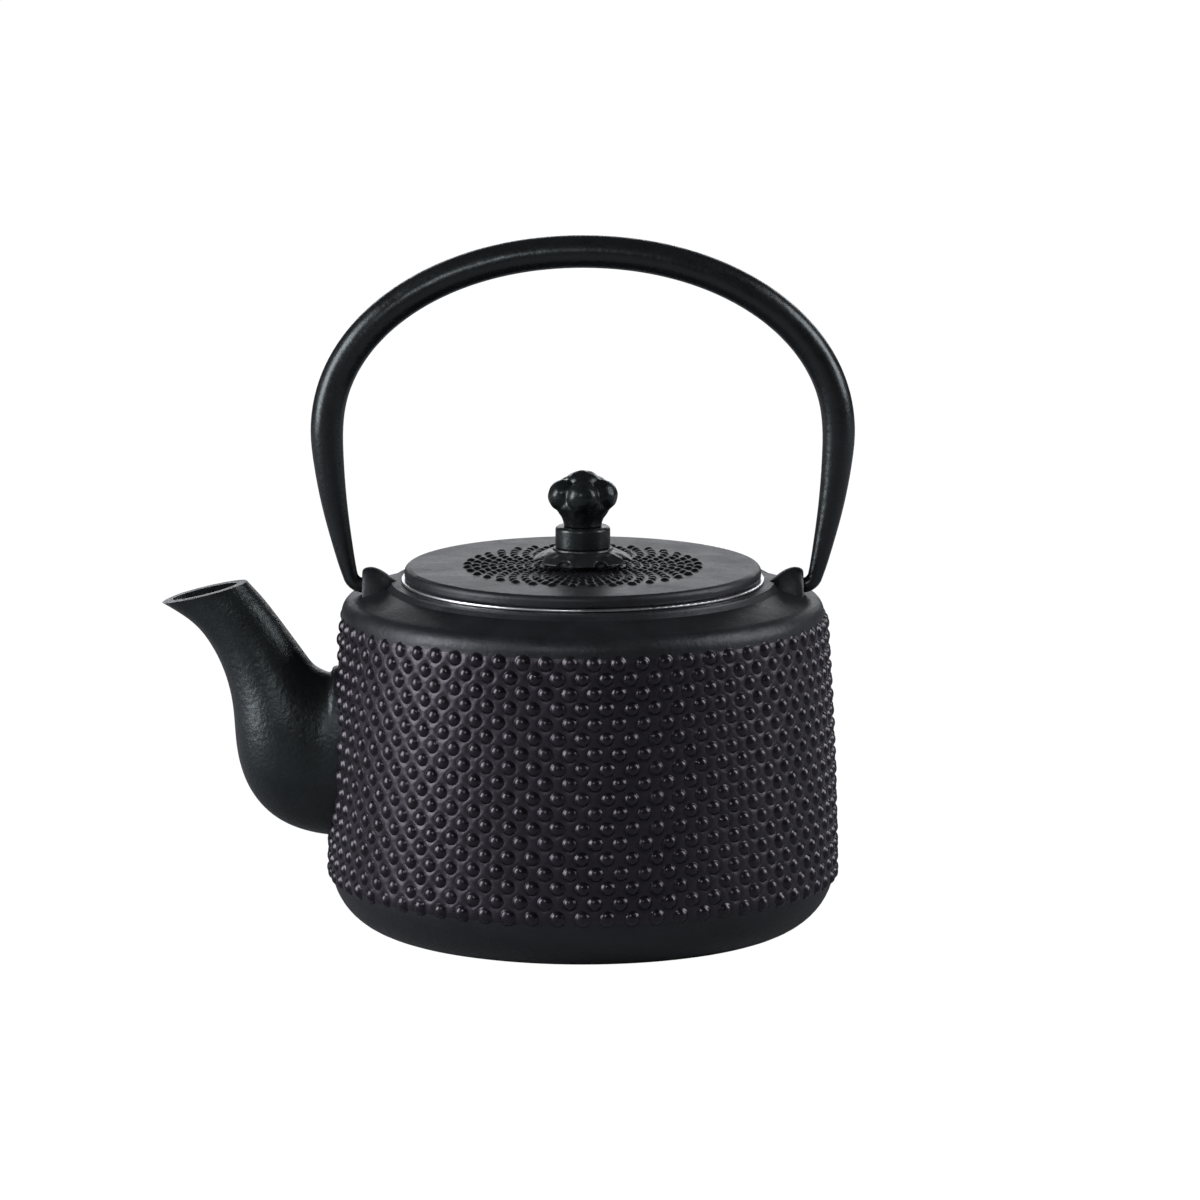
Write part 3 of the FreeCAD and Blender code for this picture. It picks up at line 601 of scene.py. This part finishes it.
def folded_seam(profile, outs):
    """The tapered pleat that takes up the flat mesh's slack: a second, closer layer inside."""
    line = [(r, z, out) for (r, z), out in zip(profile, outs) if SEAM_TOP - SEAM_DEPTH < z < SEAM_TOP]
    points, faces, normals = [], [], []
    edges = {-1: [], 0: [], 1: []}
    for (r, z, out), (next_r, next_z, _) in zip(line, line[1:]):
        for part in range(SEAM_CLOSER):
            here_r = r + (next_r - r) * part / SEAM_CLOSER
            here_z = z + (next_z - z) * part / SEAM_CLOSER
            depth = (SEAM_TOP - here_z) / SEAM_DEPTH
            reach = (SEAM_WIDE + (SEAM_NARROW - SEAM_WIDE) * depth) / (2 * here_r)
            path, across = [], []
            for k in range(-SEAM_HALF, SEAM_HALF + 1):
                spoke = spoke_at(SEAM_TURN + reach * k / SEAM_HALF)
                normal = spoke * out.x + UP * out.y
                path.append(spoke * here_r + UP * here_z - normal * SEAM_INSET)
                across.append(normal)
            add_wire(points, faces, path, across, False, SEAM_WIRE)
            for side in edges:
                edges[side].append(path[SEAM_HALF + SEAM_HALF * side])
            normals.append(across[SEAM_HALF])
    for path in edges.values():
        add_wire(points, faces, path, normals, False, SEAM_EDGE_WIRE)
    new_piece("basket_seam", points, faces, wire_steel, "infuser")


def woven(profile, outs, ring, wire, over):
    """Where a ring and an upright cross: the wire's centre, over or under the surface, and normal."""
    (r, z), out = profile[ring], outs[ring]
    spoke = spoke_at(2 * math.pi * wire / WARP_WIRES)
    normal = spoke * out.x + UP * out.y
    lift = WEAVE if ((ring + wire) % 2 == 1) == over else -WEAVE
    return spoke * r + UP * z + normal * lift, normal


def foot_weave(radius, height):
    """Straight wires both ways across the basket's foot."""
    points, faces = [], []
    half = int(radius / RING_STEP)
    for direction in range(2):
        for line in range(-half, half + 1):
            reach = math.sqrt(radius ** 2 - (line * RING_STEP) ** 2)
            steps = int(reach / RING_STEP)
            if steps < 1:
                continue
            path = []
            for k in range(-steps, steps + 1):
                over = (1 if (k + line) % 2 else -1) * (1 if direction else -1)
                here = (k * RING_STEP, line * RING_STEP)
                x, y = here if direction else here[::-1]
                path.append(Vector((x, y, height + over * WEAVE)))
            add_wire(points, faces, path, [-UP] * len(path), False)
    return points, faces


def basket():
    """The woven basket: rings and uprights round its side, and a square weave across its foot."""
    profile = basket_profile()
    outs = []
    for k in range(len(profile)):
        ahead, behind = profile[min(k + 1, len(profile) - 1)], profile[max(k - 1, 0)]
        outs.append(Vector((behind[1] - ahead[1], ahead[0] - behind[0])).normalized())
    ring_points, ring_faces, up_points, up_faces = [], [], [], []
    for ring in range(len(profile)):
        path, normals = zip(*(woven(profile, outs, ring, wire, True) for wire in range(WARP_WIRES)))
        add_wire(ring_points, ring_faces, path, normals, True)
    for wire in range(WARP_WIRES):
        path, normals = zip(*(woven(profile, outs, ring, wire, False) for ring in range(len(profile))))
        add_wire(up_points, up_faces, path, normals, False)
    foot_points, foot_faces = foot_weave(profile[-1][0] + FOOT_OVERLAP, profile[-1][1])
    rings = new_piece("basket_rings", ring_points, ring_faces, wire_steel, "infuser")
    new_piece("basket_uprights", up_points, up_faces, wire_steel, "infuser")
    new_piece("basket_floor", foot_points, foot_faces, wire_steel, "infuser")
    folded_seam(profile, outs)
    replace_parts(rings, "infuser_basket")


basket()


# ---- floor, lights, camera -------------------------------------------------------------------

CENTRE = (0.0, 0.0, 0.07)
COOL = (0.95, 0.96, 1.0)
FLOOR_HALF = 40.0
FLOOR_DROP = 0.2 * MM
FLOOR_COLOUR = (0.4, 0.4, 0.42, 1)
FLOOR_GLOW = 1.12            # seen by the camera alone, in this share
FLOOR_GLOW_SHARE = 0.9
ROOM_COLOUR = (0.9, 0.93, 1.0, 1)
ROOM_STRENGTH = 0.05


def aimed(thing, place, target):
    thing.location = place
    thing.rotation_euler = (Vector(target) - Vector(place)).to_track_quat("-Z", "Y").to_euler()


def softbox(name, place, width, height, power):
    light = bpy.data.lights.new(name, "AREA")
    light.shape = "RECTANGLE"
    light.size, light.size_y = width, height
    light.energy = power
    light.color = COOL
    lamp = bpy.data.objects.new(name, light)
    lamp.visible_camera = False
    bpy.context.scene.collection.objects.link(lamp)
    aimed(lamp, place, CENTRE)


def pale_floor():
    """A pale floor that stays near white to the camera wherever the lights fall off."""
    corners = [(x * FLOOR_HALF, y * FLOOR_HALF, 0) for x, y in ((-1, -1), (1, -1), (1, 1), (-1, 1))]
    mesh = bpy.data.meshes.new("floor")
    mesh.from_pydata(corners, [], [(0, 1, 2, 3)])
    floor = bpy.data.objects.new("floor", mesh)
    floor.location.z = -FLOOR_DROP
    bpy.context.scene.collection.objects.link(floor)
    material = bpy.data.materials.new("floor")
    material.use_nodes = True
    tree = material.node_tree
    tree.nodes.remove(tree.nodes["Principled BSDF"])
    lit = tree.nodes.new("ShaderNodeBsdfDiffuse")
    lit.inputs["Color"].default_value = FLOOR_COLOUR
    glow = tree.nodes.new("ShaderNodeEmission")
    glow.inputs["Strength"].default_value = FLOOR_GLOW
    path = tree.nodes.new("ShaderNodeLightPath")
    share = tree.nodes.new("ShaderNodeMath")
    share.operation = "MULTIPLY"
    share.inputs[1].default_value = FLOOR_GLOW_SHARE
    mix = tree.nodes.new("ShaderNodeMixShader")
    tree.links.new(path.outputs["Is Camera Ray"], share.inputs[0])
    tree.links.new(share.outputs[0], mix.inputs[0])
    tree.links.new(lit.outputs[0], mix.inputs[1])
    tree.links.new(glow.outputs[0], mix.inputs[2])
    tree.links.new(mix.outputs[0], tree.nodes["Material Output"].inputs["Surface"])
    mesh.materials.append(material)


def studio_air():
    """White behind the object for the camera, and a dim grey room for everything else."""
    world = bpy.data.worlds.new("studio")
    world.use_nodes = True
    bpy.context.scene.world = world
    tree = world.node_tree
    room = tree.nodes["Background"]
    room.inputs["Color"].default_value = ROOM_COLOUR
    room.inputs["Strength"].default_value = ROOM_STRENGTH
    seen = tree.nodes.new("ShaderNodeBackground")
    seen.inputs["Color"].default_value = (1, 1, 1, 1)
    path = tree.nodes.new("ShaderNodeLightPath")
    mix = tree.nodes.new("ShaderNodeMixShader")
    tree.links.new(path.outputs["Is Camera Ray"], mix.inputs[0])
    tree.links.new(room.outputs[0], mix.inputs[1])
    tree.links.new(seen.outputs[0], mix.inputs[2])
    tree.links.new(mix.outputs[0], tree.nodes["World Output"].inputs["Surface"])


pale_floor()
studio_air()
softbox("left_box", (-1.35, -0.3, 0.5), 0.7, 1.0, 22)
softbox("right_box", (1.3, 0.0, 0.75), 0.6, 1.0, 14)
softbox("front_box", (-0.45, -1.6, 0.95), 0.3, 0.3, 5)
softbox("back_box", (0.1, 1.6, 0.5), 1.5, 0.4, 5)

view = bpy.context.scene.view_settings
view.view_transform = "Standard"
view.look = "None"

AIM = Vector((0.005, 0.0, 0.0963))
CAMERA_UP = math.radians(10.2)
CAMERA_AWAY = 2.8
lens = bpy.data.cameras.new("camera")
lens.sensor_width = 36
lens.lens = 288
lens.clip_start = 0.1
camera = bpy.data.objects.new("camera", lens)
bpy.context.scene.collection.objects.link(camera)
aimed(camera, AIM + Vector((0, -math.cos(CAMERA_UP), math.sin(CAMERA_UP))) * CAMERA_AWAY, AIM)
bpy.context.scene.camera = camera
